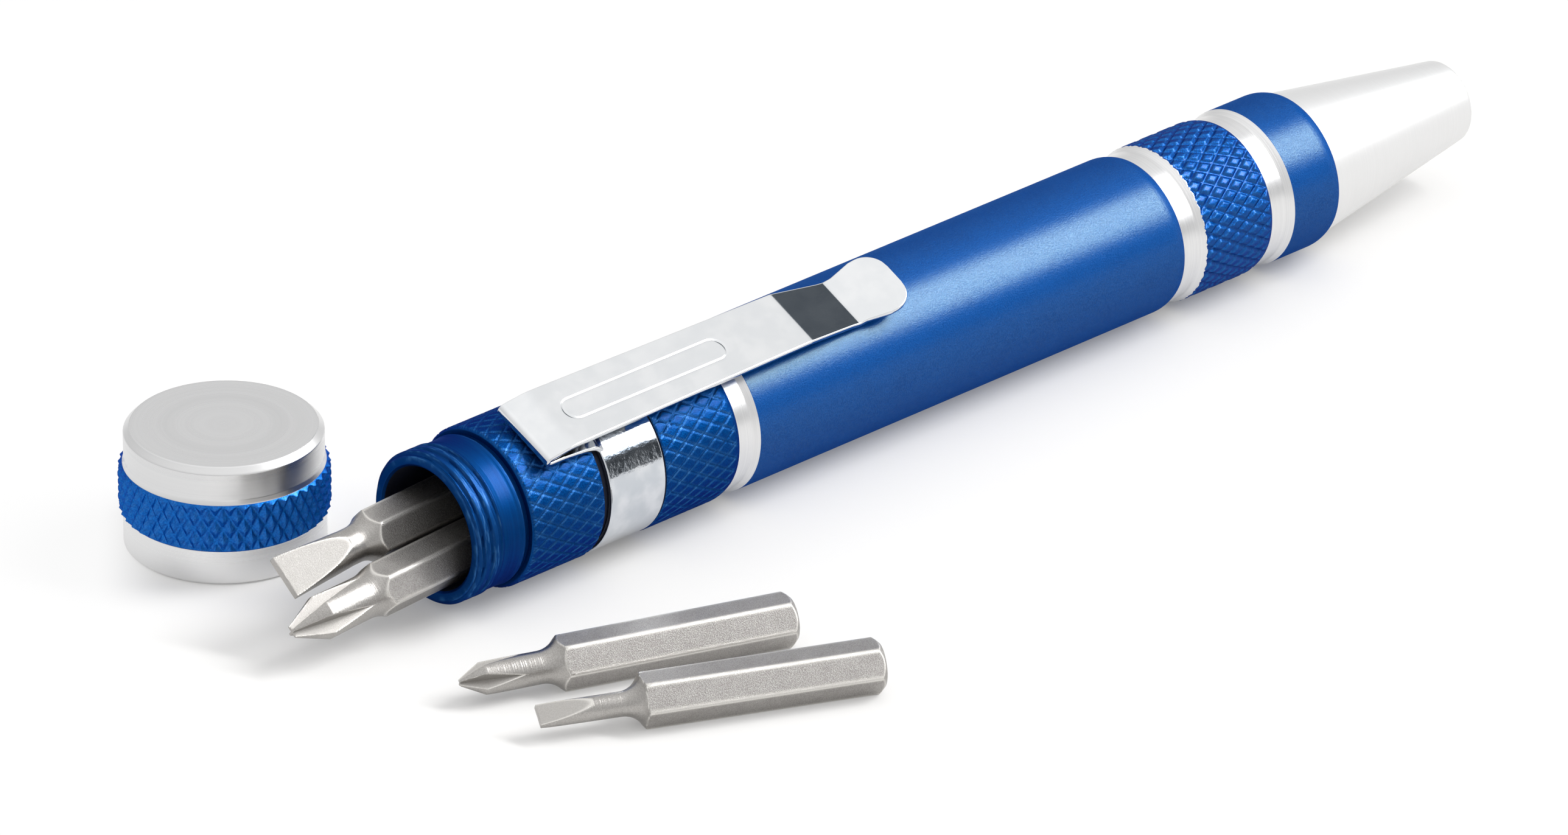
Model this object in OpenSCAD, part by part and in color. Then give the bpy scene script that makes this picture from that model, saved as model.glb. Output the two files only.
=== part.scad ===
/* [Bits] */
// Width across the flats of a hexagon bit
bit_af = 4; // [3:0.05:5]
// Whole length of a bit
bit_l = 28; // [24:0.5:32]
// Length of the turned working end of a large bit, in front of the hexagon
bit_tip_l = 9; // [8:0.1:11]
// Length of the turned working end of a small bit
small_tip_l = 8.5; // [8:0.1:11]
// Chamfer on the back end of a bit
bit_chamfer = 0.45; // [0.2:0.05:0.8]
// Blade width of the wide slotted bit
wide_blade_w = 3.7; // [3:0.05:3.8]
// Blade thickness at the edge of the wide slotted bit
wide_blade_t = 0.6; // [0.4:0.05:1]
// Length of the two flats of the wide slotted bit
wide_flat_l = 6.2; // [5:0.1:7]
// Neck diameter of the wide slotted bit
wide_neck_d = 3; // [2.4:0.05:3.4]
// Blade width of the small slotted bit
small_blade_w = 1.95; // [1.6:0.05:2.4]
// Blade thickness at the edge of the small slotted bit
small_blade_t = 0.45; // [0.3:0.05:0.6]
// Length of the two flats of the small slotted bit
small_flat_l = 4.4; // [3.5:0.1:6]
// Neck diameter of the small slotted bit
small_neck_d = 2; // [1.6:0.05:2.4]
// Largest diameter of the large cross tip
large_cross_d = 3.65; // [3:0.05:3.8]
// Neck diameter of the large cross bit
large_neck_d = 3.55; // [3:0.05:3.8]
// Length of the pointed cone of the large cross tip
large_cone_l = 3; // [2.4:0.1:4]
// Length of the four flutes of the large cross tip
large_flute_l = 7; // [5:0.1:7.2]
// Blunt end diameter of the large cross tip
large_blunt_d = 1; // [0.6:0.05:1.4]
// Largest diameter of the small cross tip
small_cross_d = 2.7; // [2:0.05:3]
// Neck diameter of the small cross bit
small_cross_neck_d = 2.65; // [1.8:0.05:3]
// Length of the pointed cone of the small cross tip
small_cone_l = 1.9; // [1.4:0.1:2.6]
// Length of the four flutes of the small cross tip
small_flute_l = 5; // [4:0.1:7]
// Blunt end diameter of the small cross tip
small_blunt_d = 0.6; // [0.4:0.05:0.9]

/* [Barrel] */
// Thickness of the threaded wall round the storage bore
rim_wall = 1.17; // [0.9:0.01:1.6]
// Step from the thread crest out to the barrel's full radius
shoulder_step = 0.38; // [0.2:0.01:0.8]
// Depth of the storage bore, to the start of its drilled cone
bore_depth = 30; // [29:0.5:36]
// Plain rim in front of the first thread crest
rim_l = 0.1; // [0.05:0.05:0.8]
// Pitch of the cap thread
thread_pitch = 0.9; // [0.75:0.05:1.25]
// Depth of the cap thread
thread_depth = 0.3; // [0.2:0.01:0.4]
// Smooth neck behind the thread
neck_l = 2.1; // [1:0.1:2.5]
// Undercut groove between the neck and the shoulder
undercut_l = 0.5; // [0.3:0.05:0.8]
// Knurled band next to the mouth
mouth_knurl_l = 7.4; // [6:0.1:10]
// Length of the seat that the clip's band sits in
clip_seat_l = 6.8; // [6:0.1:8]
// Knurled band on the nose side of the clip
clip_knurl_l = 8; // [6:0.1:10]
// Bright turned ring at the mouth end of the grip
mouth_ring_l = 2.1; // [1.6:0.1:3]
// Long smooth grip
grip_l = 47.3; // [40:0.5:60]
// Each bright turned ring near the nose
nose_ring_l = 2.4; // [1.6:0.1:3]
// Knurled band near the nose
nose_knurl_l = 7.6; // [6:0.1:10]
// Smooth collar in front of the nose
collar_l = 5.3; // [4:0.1:7]
// Depth that the bright rings and the clip seat are turned below the barrel
ring_depth = 0.3; // [0.2:0.01:0.45]
// Length of the chamfer that ends each blue band
band_chamfer_l = 0.8; // [0.4:0.05:1.2]

/* [Nose and bit holder] */
// Length of the nose cone in front of the barrel
nose_l = 18.6; // [15:0.1:24]
// Diameter of the nose where it leaves the collar
nose_base_d = 12.7; // [12:0.1:12.9]
// Diameter of the nose at its tip
nose_tip_d = 7.2; // [6.8:0.1:8]
// Rounding of the nose's end edge
nose_round = 0.4; // [0.2:0.05:0.6]
// Length of the nose's spigot inside the barrel
spigot_l = 13; // [10:0.5:16]
// Diameter of the nose's spigot
spigot_d = 8.6; // [8:0.1:9.4]
// Length of the steel hexagon sleeve
sleeve_l = 13; // [12:0.5:16]
// Wall of the sleeve outside its round lead-in
sleeve_wall = 0.45; // [0.3:0.05:0.7]
// Depth of the sleeve's round lead-in
lead_in_l = 1.5; // [1:0.1:2.5]
// Length of the magnet behind the bit
magnet_l = 3; // [2:0.5:4]

/* [Clip] */
// Thickness of the clip's sheet steel
clip_t = 0.45; // [0.3:0.01:0.5]
// Width of the clip's band
clip_band_w = 5.5; // [4:0.1:5.7]
// Angle of the barrel that the band wraps, from its middle to each end
clip_wrap = 118; // [100:1:150]
// Lean of the clip from upright, towards the front
clip_lean = 24.5; // [0:0.5:45]
// Height of the clip's plate above the barrel, to the middle of the sheet
plate_rise = 1.4; // [1.2:0.02:2]
// Height of the lower leaf above the barrel, to the middle of the sheet
leaf_rise = 0.27; // [0.26:0.01:0.5]
// Clearance between the clip's touch-down bend and the barrel
touch_gap = 0.25; // [0.15:0.05:0.4]
// Distance of the fold in front of the band's mouth side
fold_ahead = 6.5; // [5:0.05:8]
// Length of the part next to the fold that slopes up to the plate
nose_slope_l = 2.6; // [2:0.1:3.4]
// Length from the fold to the plate's first bend
plate_l = 28.5; // [24:0.5:34]
// Length from the first bend to the touch-down bend
slope_l = 5.9; // [5:0.1:8]
// Length of the rising end beyond the touch-down bend
tip_l = 5.4; // [5:0.1:7]
// Rise of the clip's end above the touch-down bend
tip_rise = 1.05; // [0.5:0.05:1.6]
// Width of the clip at the fold
fold_w = 6.4; // [5:0.1:8]
// Width of the clip at its first bend
bend_w = 5.6; // [4.5:0.1:7]
// Width of the clip at the touch-down bend
waist_w = 4.8; // [4:0.1:6]
// Width of the clip's rounded end
tip_w = 5.8; // [4.5:0.1:7]

/* [Cap] */
// Wall of the cap's skirt outside its thread
skirt_wall = 1.66; // [1.2:0.02:2.2]
// Step from the skirt out to the cap's knurl
knurl_step = 0.38; // [0.2:0.02:0.6]
// Height of the bright skirt
skirt_h = 3; // [2:0.1:4]
// Height of the knurled band
cap_knurl_h = 4.05; // [3:0.05:6]
// Height of the sloping ledge above the knurl
ledge_h = 0.45; // [0.3:0.05:0.8]
// Height of the bright upper cylinder
crown_h = 2.25; // [1.5:0.05:3]
// Height and width of the bright bevel round the top
bevel = 0.5; // [0.3:0.05:0.8]
// Thickness of the cap's top
cap_top_t = 1.8; // [1.2:0.1:2.5]

/* [Layout] */
// Where the cap stands, past the barrel's mouth
cap_past = 4.2; // [-6:0.1:12]
// Where the cap stands, behind the barrel's axis
cap_behind = 19.4; // [16:0.1:30]
// Where the small cross bit's tip lies, past the mouth
cross_past = 9.25; // [-10:0.1:20]
// Where the small cross bit's tip lies, in front of the axis
cross_front = 14.25; // [12:0.1:20]
// Angle of the small cross bit to the barrel
cross_yaw = 20.3; // [0:0.1:30]
// Where the small slotted bit's tip lies, past the mouth
blade_past = 8.45; // [-10:0.1:20]
// Where the small slotted bit's tip lies, in front of the axis
blade_front = 22.55; // [20:0.1:32]
// Angle of the small slotted bit to the barrel
blade_yaw = 25; // [15:0.1:35]
// How far the large cross bit stands out of the mouth
cross_out = 15.2; // [10:0.1:18]
// How far the wide slotted bit stands out of the mouth
blade_out = 12.6; // [10:0.1:18]
// Droop of the two stored bits over the rim
stored_tilt = 3.2; // [0:0.1:3.6]

/* [Hidden] */
$fn = 96;

// A cut runs this far past the faces that it opens
overrun = 1;
// Radial room of a running fit, and the line-to-line play of a pressed one
fit_gap = 0.05;
press_gap = 0.02;

// The corners of the hexagon stock are turned down to this share of its width across the flats
corner_share = 1.1;
bit_corner_d = bit_af * corner_share;
// Room round the four bits that the storage bore is made for, and round the two in it
bore_room = 0.05;
stored_room = 0.33;
between_room = 0.05;

// Storage bore: two bits flat to flat and two corner to corner
bore_d = sqrt(pow(bit_af, 2) + pow(bit_corner_d, 2)) + bit_corner_d + bore_room;
bore_r = bore_d / 2;
drill_cone_slope = 0.6;
thread_crests = 3;
thread_l = thread_crests * thread_pitch;
thread_r = bore_r + rim_wall;
root_r = thread_r - thread_depth;
barrel_r = thread_r + shoulder_step;
ring_r = barrel_r - ring_depth;
mouth_edge = 0.15;
knurl_edge = 0.2;
ring_flat_share = 0.72;

// Stations along the barrel, from the mouth towards the nose
shoulder_at = rim_l + thread_l + neck_l + undercut_l;
seat_at = shoulder_at + mouth_knurl_l;
clip_knurl_at = seat_at + clip_seat_l;
mouth_ring_at = clip_knurl_at + clip_knurl_l;
grip_at = mouth_ring_at + mouth_ring_l;
first_ring_at = grip_at + grip_l;
nose_knurl_at = first_ring_at + nose_ring_l;
last_ring_at = nose_knurl_at + nose_knurl_l;
collar_at = last_ring_at + nose_ring_l;
nose_at = collar_at + collar_l;
overall_l = nose_at + nose_l;

// The origin is the mouth of the bit socket, on the barrel's axis
mouth_x = -overall_l;
floor_z = -barrel_r;

// Bit socket
socket_af = bit_af + 2 * press_gap;
lead_in_r = socket_af / 2 / cos(30) + 2 * fit_gap;
sleeve_r = lead_in_r + sleeve_wall;
magnet_r = socket_af / 2 - press_gap;

// Clip, in its own upright plane: distance from the fold, and height above the axis
seat_r = ring_r - ring_depth + fit_gap;
band_r = seat_r + fit_gap + clip_t;
plate_h = barrel_r + plate_rise;
leaf_h = barrel_r + leaf_rise;
touch_h = barrel_r + touch_gap + clip_t / 2;
band_start = seat_at + clip_seat_l - clip_band_w - fit_gap * 2;
fold_x = band_start - fold_ahead;
fold_r = clip_t / 2 + 0.1;
fold_h = leaf_h + 2 * fold_r;
fold_share = 0.9;
first_bend_at = plate_l;
touch_at = first_bend_at + slope_l;
clip_l = touch_at + tip_l;
bend_r = 3;
hinge_at = nose_slope_l + 0.7;
crease_r = 1.2;
joggle_gap = 0.1;
joggle_l = 0.5;
tip_round = 1.9;
waist_round = 3;
rib_t = 0.08;
rib_w = 0.22;
rib_at = 4.2;
rib_l = 17;
rib_out_w = 2.1;

// Cap
cap_bore_r = thread_r + fit_gap * 2;
skirt_r = cap_bore_r + skirt_wall;
cap_knurl_r = skirt_r + knurl_step;
crown_r = skirt_r - knurl_step / 4;
cap_h = skirt_h + cap_knurl_h + ledge_h + crown_h + bevel;
cap_depth = cap_h - cap_top_t;
cap_entry_l = 1;
skirt_chamfer = 0.15;

// Blade and cross tips
neck_at_share = 0.72;
flare_share = 0.2;
flute_floor_share = 0.3;
flute_side = 4;

// Two bits lie in the bore, this far from its axis, on either side of this direction
stored_r = bore_r - bit_corner_d / 2 - stored_room;
stored_spread = 2 * asin((bit_corner_d + between_room) / (2 * stored_r));
stored_middle = -61;
stored_roll = 10;

// A point on the arc of a given radius that rounds the corner p between a and b, at each of its steps
function unit(v) = v / norm(v);
function arc_corner(a, p, b, r, steps) =
    let (u = unit(a - p), v = unit(b - p))
    let (half = acos(u * v) / 2)
    let (c = p + unit(u + v) * r / sin(half))
    let (from = p + u * r / tan(half) - c, to = p + v * r / tan(half) - c)
    let (sweep = 180 - 2 * half)
    [for (i = [0:steps]) c + (sin(sweep * (1 - i / steps)) * from + sin(sweep * i / steps) * to) / sin(sweep)];

// A line through points, with each inner corner rounded to its own radius
function rounded(pts, radii, steps) = [
    for (i = [0:len(pts) - 1])
        each (i == 0 || i == len(pts) - 1 ? [pts[i]] : arc_corner(pts[i - 1], pts[i], pts[i + 1], radii[i], steps))
];

// The outline of a sheet of thickness t whose middle follows a line
function ahead(line, i) = unit(line[min(i + 1, len(line) - 1)] - line[max(i - 1, 0)]);
function side(line, t) = [for (i = [0:len(line) - 1]) line[i] + t / 2 * [-ahead(line, i)[1], ahead(line, i)[0]]];
function reversed(list) = [for (i = [len(list) - 1:-1:0]) list[i]];
function sheet(line, t) = concat(side(line, t), reversed(side(line, -t)));

// Turned work: an outline of radius and distance, spun about the X axis
module turned(outline) {
    rotate([0, 90, 0])
        rotate_extrude()
            polygon(outline);
}

function thread_outline() = [
    for (i = [0:thread_crests - 1])
        let (x = rim_l + i * thread_pitch)
        each [[root_r, x], [thread_r, x + thread_pitch / 6], [thread_r, x + thread_pitch * 2 / 3],
            [root_r, x + thread_pitch * 5 / 6]]
];

// A band of full radius between two stations, with a chamfer at its far end
function band_outline(from, to) = [
    [barrel_r, from], [barrel_r, to - band_chamfer_l], [ring_r + ring_depth / 4, to], [ring_r, to]
];

// A bright ring: a flat, then a chamfer that climbs to the next band
function ring_outline(from, to) = [
    [ring_r, from], [ring_r, from + (to - from) * ring_flat_share], [barrel_r, to]
];

module barrel() {
    neck_at = rim_l + thread_l;
    spigot_bore_r = spigot_d / 2 + press_gap;
    outline = concat(
        [[0, bore_depth + bore_r * drill_cone_slope], [bore_r, bore_depth], [bore_r, mouth_edge],
            [bore_r + mouth_edge, 0], [root_r, 0]],
        thread_outline(),
        [[root_r + thread_depth / 2, neck_at], [thread_r - thread_depth / 4, neck_at + thread_depth],
            [thread_r - thread_depth / 4, shoulder_at - undercut_l], [root_r, shoulder_at - undercut_l],
            [root_r, shoulder_at], [barrel_r - knurl_edge, shoulder_at]],
        [[barrel_r, shoulder_at + knurl_edge], [barrel_r, seat_at], [seat_r, seat_at],
            [seat_r, clip_knurl_at]],
        band_outline(clip_knurl_at, mouth_ring_at),
        ring_outline(mouth_ring_at, grip_at),
        band_outline(grip_at, first_ring_at),
        ring_outline(first_ring_at, nose_knurl_at),
        band_outline(nose_knurl_at, last_ring_at),
        ring_outline(last_ring_at, collar_at),
        band_outline(collar_at, nose_at),
        [[spigot_bore_r, nose_at], [spigot_bore_r, nose_at - spigot_l], [0, nose_at - spigot_l]]
    );
    color("royalblue")
        translate([mouth_x, 0, 0])
            turned(outline);
}

module nose_cone() {
    base_r = nose_base_d / 2;
    tip_r = nose_tip_d / 2;
    cone_end = nose_l - nose_round;
    seat_bore_r = sleeve_r + press_gap;
    color("gainsboro")
        translate([-nose_l, 0, 0])
            turned(concat(
                [[0, -spigot_l + press_gap], [spigot_d / 2, -spigot_l + press_gap], [spigot_d / 2, 0],
                    [base_r, 0]],
                [for (a = [0:15:90])
                    [tip_r - nose_round + nose_round * cos(a), cone_end + nose_round * sin(a)]],
                [[seat_bore_r, nose_l], [seat_bore_r, nose_l - sleeve_l], [0, nose_l - sleeve_l]]
            ));
}

module hex_sleeve() {
    color("dimgray")
        difference() {
            translate([-sleeve_l, 0, 0])
                rotate([0, 90, 0])
                    cylinder(r = sleeve_r, h = sleeve_l);
            translate([-sleeve_l - overrun, 0, 0])
                hexagon_bar(socket_af, sleeve_l + 2 * overrun);
            translate([-lead_in_l, 0, 0])
                rotate([0, 90, 0])
                    cylinder(r = lead_in_r, h = lead_in_l + overrun);
        }
}

module socket_magnet() {
    color("silver")
        translate([-sleeve_l, 0, 0])
            rotate([0, 90, 0])
                cylinder(r = magnet_r, h = magnet_l);
}

// Puts work that is drawn in the clip's own plane in its place on the barrel
module on_clip() {
    translate([mouth_x + fold_x, 0, 0])
        rotate([90 + clip_lean, 0, 0])
            children();
}

module clip_band() {
    inner_r = band_r - clip_t;
    joggle_at = seat_at - fold_x + joggle_gap;
    leaf_line = rounded(
        [[joggle_at, leaf_h], [clip_t / 2, leaf_h], [clip_t / 2, fold_h], [nose_slope_l, plate_h],
            [hinge_at, plate_h]],
        [0, fold_r * fold_share, fold_r * fold_share, bend_r, 0], 6);
    band_from = band_start - fold_x;
    joggle = [[band_from, band_r], [band_from + joggle_l, inner_r - clip_t], [band_from + joggle_l, 0],
        [joggle_at, 0]];
    color("silver")
        difference() {
            union() {
                translate([mouth_x + band_start, 0, 0])
                    rotate([0, 90, 0])
                        cylinder(r = band_r, h = clip_band_w);
                on_clip()
                    linear_extrude(fold_w, center = true)
                        polygon(concat(sheet(leaf_line, clip_t), joggle));
            }
            translate([mouth_x + seat_at, 0, 0])
                rotate([0, 90, 0])
                    cylinder(r = inner_r, h = clip_seat_l);
            translate([mouth_x + seat_at, 0, 0])
                rotate([clip_lean, 0, 0])
                    rotate([0, 90, 0])
                        linear_extrude(clip_seat_l)
                            band_opening();
        }
}

// The part of the circle that the band leaves open, below the barrel
module band_opening() {
    reach = 2 * band_r;
    polygon([[0, 0], [-reach * cos(clip_wrap), reach * sin(clip_wrap)], [reach, reach * sin(clip_wrap)],
        [reach, -reach * sin(clip_wrap)], [-reach * cos(clip_wrap), -reach * sin(clip_wrap)]]);
}

// The plate's plan: its taper from the fold to the waist, and its rounded end
function clip_plan() =
    let (corner = tip_round, end = clip_l, wide = end - tip_round * 1.2)
    let (half_line = rounded(
        [[0, fold_w / 2], [first_bend_at, bend_w / 2], [touch_at, waist_w / 2], [wide, tip_w / 2],
            [end, tip_w / 2], [end, 0]],
        [0, waist_round, waist_round, corner / 2, corner, 0], 8))
    concat(half_line, [for (p = reversed(half_line)) [p[0], -p[1]]]);

module clip_arm() {
    arm_line = rounded(
        [[hinge_at, plate_h], [first_bend_at, plate_h], [touch_at, touch_h], [clip_l, touch_h + tip_rise]],
        [0, bend_r, crease_r, 0], 6);
    color("silver")
        on_clip()
            difference() {
                intersection() {
                    linear_extrude(2 * tip_w, center = true)
                        polygon(sheet(arm_line, clip_t));
                    rotate([-90, 0, 0])
                        linear_extrude(2 * plate_h)
                            polygon(clip_plan());
                }
                rib_groove();
            }
}

// The outline of the pressed rib, a shallow groove round a long slot shape
module rib_groove() {
    depth = plate_h + clip_t / 2 - rib_t;
    module slot(w) {
        for (x = [rib_at + rib_out_w / 2, rib_at + rib_l - rib_out_w / 2])
            translate([x, 0])
                circle(d = w);
        translate([rib_at + rib_out_w / 2, -w / 2])
            square([rib_l - rib_out_w, w]);
    }
    translate([0, depth, 0])
        rotate([-90, 0, 0])
            linear_extrude(overrun)
                difference() {
                    slot(rib_out_w);
                    slot(rib_out_w - 2 * rib_w);
                }
}

module cap() {
    knurl_top = skirt_h + cap_knurl_h;
    thread_top = cap_entry_l + thread_l;
    color("cornflowerblue")
        translate([mouth_x - cap_past, cap_behind, floor_z])
            rotate_extrude()
                polygon(concat(
                    [[0, cap_depth], [cap_bore_r, cap_depth], [cap_bore_r, thread_top]],
                    [for (i = [thread_crests - 1:-1:0])
                        let (z = cap_entry_l + i * thread_pitch)
                        each [[cap_bore_r + thread_depth / 2, z + thread_pitch * 3 / 4],
                            [cap_bore_r + thread_depth / 2, z + thread_pitch / 2],
                            [cap_bore_r, z + thread_pitch / 4]]],
                    [[cap_bore_r, skirt_chamfer], [cap_bore_r + skirt_chamfer, 0],
                        [skirt_r - skirt_chamfer, 0], [skirt_r, skirt_chamfer], [skirt_r, skirt_h],
                        [cap_knurl_r, skirt_h + knurl_edge], [cap_knurl_r, knurl_top - knurl_edge],
                        [skirt_r, knurl_top], [crown_r, knurl_top + ledge_h],
                        [crown_r, knurl_top + ledge_h + crown_h], [crown_r - bevel, cap_h], [0, cap_h]]
                ));
}

// Hexagon stock along X, lying on a flat
module hexagon_bar(across, length) {
    rotate([0, 90, 0])
        rotate([0, 0, 30])
            cylinder(d = across / cos(30), h = length, $fn = 6);
}

// The turned outline of a bit, from its working end: nose points, a neck, a hollow flare, the stock
module bit_body(nose_pts, neck_d, end_l) {
    neck_r = neck_d / 2;
    stock_r = bit_corner_d / 2;
    flare_l = bit_tip_l * flare_share;
    flare_from = end_l - flare_l;
    drop = stock_r - neck_r;
    arc_r = (pow(flare_l, 2) + pow(drop, 2)) / (2 * drop);
    flare = [for (i = [1:8])
        let (x = flare_l * i / 8)
        [neck_r + arc_r - sqrt(pow(arc_r, 2) - pow(x, 2)), flare_from + x]];
    intersection() {
        translate([-overrun, 0, 0])
            hexagon_bar(bit_af, bit_l + 2 * overrun);
        turned(concat(
            [[0, 0]], nose_pts, [[neck_r, end_l * neck_at_share], [neck_r, flare_from]], flare,
            [[stock_r, bit_l - bit_chamfer], [stock_r - bit_chamfer, bit_l], [0, bit_l]]
        ));
    }
}

// A slotted tip: two flats run down to the edge, the blade's width lies 30 degrees off the flat below
module slotted_bit(blade_w, blade_t, run, neck_d, end_l) {
    slope = atan((neck_d - blade_t) / 2 / run);
    difference() {
        bit_body([[blade_w / 2, 0]], neck_d, end_l);
        rotate([30, 0, 0])
            for (m = [0, 1])
                mirror([0, 0, m])
                    translate([0, 0, blade_t / 2])
                        rotate([0, -slope, 0])
                            translate([-overrun, -bit_af, 0])
                                cube([run + 2 * overrun, 2 * bit_af, bit_af]);
    }
}

// A cross tip: four V flutes leave four wings, one of them 30 degrees off the flat below
module cross_bit(cross_d, neck_d, run, cone_l, blunt_d, end_l) {
    floor_r = blunt_d / 2 * flute_floor_share;
    slope = atan((neck_d / 2 - floor_r) / run);
    difference() {
        bit_body([[blunt_d / 2, 0], [cross_d / 2, cone_l]], neck_d, end_l);
        for (a = [0:90:270])
            rotate([30 + 45 + a, 0, 0])
                translate([0, 0, floor_r])
                    rotate([0, -slope, 0])
                        rotate([45, 0, 0])
                            translate([-overrun, 0, 0])
                                cube([run + 2 * overrun, flute_side, flute_side]);
    }
}

// Lays a bit on the floor, on a flat, with its tip at a place and its back end turned by yaw
module lying(past, front, yaw) {
    translate([mouth_x - past, -front, floor_z + bit_af / 2])
        rotate([0, 0, -yaw])
            children();
}

// Puts a bit in the storage bore, on one side of the middle direction, drooping over the rim
module stored(out, which) {
    direction = stored_middle + which * stored_spread / 2;
    translate([mouth_x, stored_r * cos(direction), stored_r * sin(direction)])
        rotate([0, -stored_tilt, 0])
            translate([-out, 0, 0])
                rotate([stored_roll, 0, 0])
                    children();
}

module bit_slotted_wide() {
    color("lightgray")
        stored(blade_out, 1)
            slotted_bit(wide_blade_w, wide_blade_t, wide_flat_l, wide_neck_d, bit_tip_l);
}

module bit_cross_large() {
    color("lightgray")
        stored(cross_out, -1)
            cross_bit(large_cross_d, large_neck_d, large_flute_l, large_cone_l, large_blunt_d, bit_tip_l);
}

module bit_cross_small() {
    color("lightgray")
        lying(cross_past, cross_front, cross_yaw)
            cross_bit(small_cross_d, small_cross_neck_d, small_flute_l, small_cone_l, small_blunt_d,
                small_tip_l);
}

module bit_slotted_small() {
    color("lightgray")
        lying(blade_past, blade_front, blade_yaw)
            slotted_bit(small_blade_w, small_blade_t, small_flat_l, small_neck_d, small_tip_l);
}

barrel();
nose_cone();
hex_sleeve();
socket_magnet();
clip_band();
clip_arm();
cap();
bit_slotted_wide();
bit_cross_large();
bit_cross_small();
bit_slotted_small();
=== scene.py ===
"""Pocket screwdriver: the looks of a pen-shaped driver, its cap and its four bits.

All sizes are in millimetres until a mesh is made, where MM turns them into metres.
"""
from math import acos, cos, hypot, pi, radians, sin, tan

import bpy
import numpy as np
from mathutils import Matrix, Vector


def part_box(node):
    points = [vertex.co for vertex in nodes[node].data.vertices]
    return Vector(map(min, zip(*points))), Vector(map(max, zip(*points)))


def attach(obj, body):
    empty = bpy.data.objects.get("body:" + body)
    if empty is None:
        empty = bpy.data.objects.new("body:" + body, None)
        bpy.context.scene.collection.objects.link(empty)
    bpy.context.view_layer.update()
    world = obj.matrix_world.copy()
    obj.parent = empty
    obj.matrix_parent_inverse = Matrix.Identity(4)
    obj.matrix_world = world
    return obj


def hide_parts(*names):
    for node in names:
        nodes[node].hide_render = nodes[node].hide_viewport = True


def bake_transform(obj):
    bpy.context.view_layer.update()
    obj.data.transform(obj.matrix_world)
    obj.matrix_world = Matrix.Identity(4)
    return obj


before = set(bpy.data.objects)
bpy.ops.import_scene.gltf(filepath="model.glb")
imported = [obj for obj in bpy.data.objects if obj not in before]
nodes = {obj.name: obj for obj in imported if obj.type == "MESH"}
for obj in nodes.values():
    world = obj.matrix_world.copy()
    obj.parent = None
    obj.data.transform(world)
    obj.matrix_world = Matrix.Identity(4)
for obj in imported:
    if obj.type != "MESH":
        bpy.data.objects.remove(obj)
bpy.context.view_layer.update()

MM = 0.001


def mm_box(node):
    low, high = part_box(node)
    return np.array(low) / MM, np.array(high) / MM


# Sizes read from the frame
barrel_low, barrel_high = mm_box("barrel")
MOUTH_X = barrel_low[0]
BARREL_R = (barrel_high[1] - barrel_low[1]) / 2
FLOOR_Z = mm_box("cap")[0][2]
OVERALL_L = mm_box("nose_cone")[1][0] - MOUTH_X
COLLAR_END = barrel_high[0] - MOUTH_X
cap_low, cap_high = mm_box("cap")
CAP_CENTRE = (cap_low + cap_high) / 2
CAP_R = (cap_high[0] - cap_low[0]) / 2
CAP_H = cap_high[2] - cap_low[2]


# The camera
VIEW_ELEVATION = radians(27.26)
VIEW_TURN = radians(42.86)
VIEW_ROLL = radians(0.07)
FOCAL_PX = 25000
IMAGE_PX = (2576, 1372)
MOUTH_PX = (700.0, 869.7)
PX_PER_MM = 20.848
SENSOR_MM = 36
CLIP_END_M = 20


def add_camera():
    """Looks at the barrel's mouth, which lies at MOUTH_PX of the picture at PX_PER_MM."""
    right = Vector((cos(VIEW_TURN), -sin(VIEW_TURN), 0))
    ahead = Vector((sin(VIEW_TURN) * cos(VIEW_ELEVATION), cos(VIEW_TURN) * cos(VIEW_ELEVATION),
                    -sin(VIEW_ELEVATION)))
    up = right.cross(ahead)
    right, up = (cos(VIEW_ROLL) * right + sin(VIEW_ROLL) * up,
                 cos(VIEW_ROLL) * up - sin(VIEW_ROLL) * right)
    across = (MOUTH_PX[0] - IMAGE_PX[0] / 2) / FOCAL_PX
    above = (IMAGE_PX[1] / 2 - MOUTH_PX[1]) / FOCAL_PX
    mouth = Vector((MOUTH_X, 0, 0)) * MM
    place = mouth - (ahead + across * right + above * up) * FOCAL_PX / PX_PER_MM * MM
    data = bpy.data.cameras.new("camera")
    data.sensor_width = SENSOR_MM
    data.lens = FOCAL_PX * SENSOR_MM / IMAGE_PX[0]
    data.clip_end = CLIP_END_M
    camera = bpy.data.objects.new("camera", data)
    bpy.context.scene.collection.objects.link(camera)
    camera.matrix_world = Matrix.Translation(place) @ Matrix((right, up, -ahead)).transposed().to_4x4()
    bpy.context.scene.camera = camera


# Shader building
class Shade:
    """A socket in a node tree, with arithmetic that adds Math nodes."""

    def __init__(self, tree, socket):
        self.tree = tree
        self.socket = socket

    def math(self, operation, *values):
        node = self.tree.nodes.new("ShaderNodeMath")
        node.operation = operation
        for slot, value in zip(node.inputs, (self,) + values):
            put(self.tree, slot, value)
        return Shade(self.tree, node.outputs[0])

    def __add__(self, other): return self.math("ADD", other)
    def __radd__(self, other): return self.math("ADD", other)
    def __mul__(self, other): return self.math("MULTIPLY", other)
    def __rmul__(self, other): return self.math("MULTIPLY", other)
    def __sub__(self, other): return self.math("SUBTRACT", other)
    def __rsub__(self, other): return self.math("MULTIPLY", -1) + other
    def __truediv__(self, other): return self.math("DIVIDE", other)
    def __pow__(self, other): return self.math("POWER", other)

    def step(self, low, high):
        """A smooth step from 0 at low to 1 at high."""
        node = self.tree.nodes.new("ShaderNodeMapRange")
        node.interpolation_type = "SMOOTHSTEP"
        for slot, value in zip(node.inputs, (self, low, high, 0, 1)):
            put(self.tree, slot, value)
        return Shade(self.tree, node.outputs[0])


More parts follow.
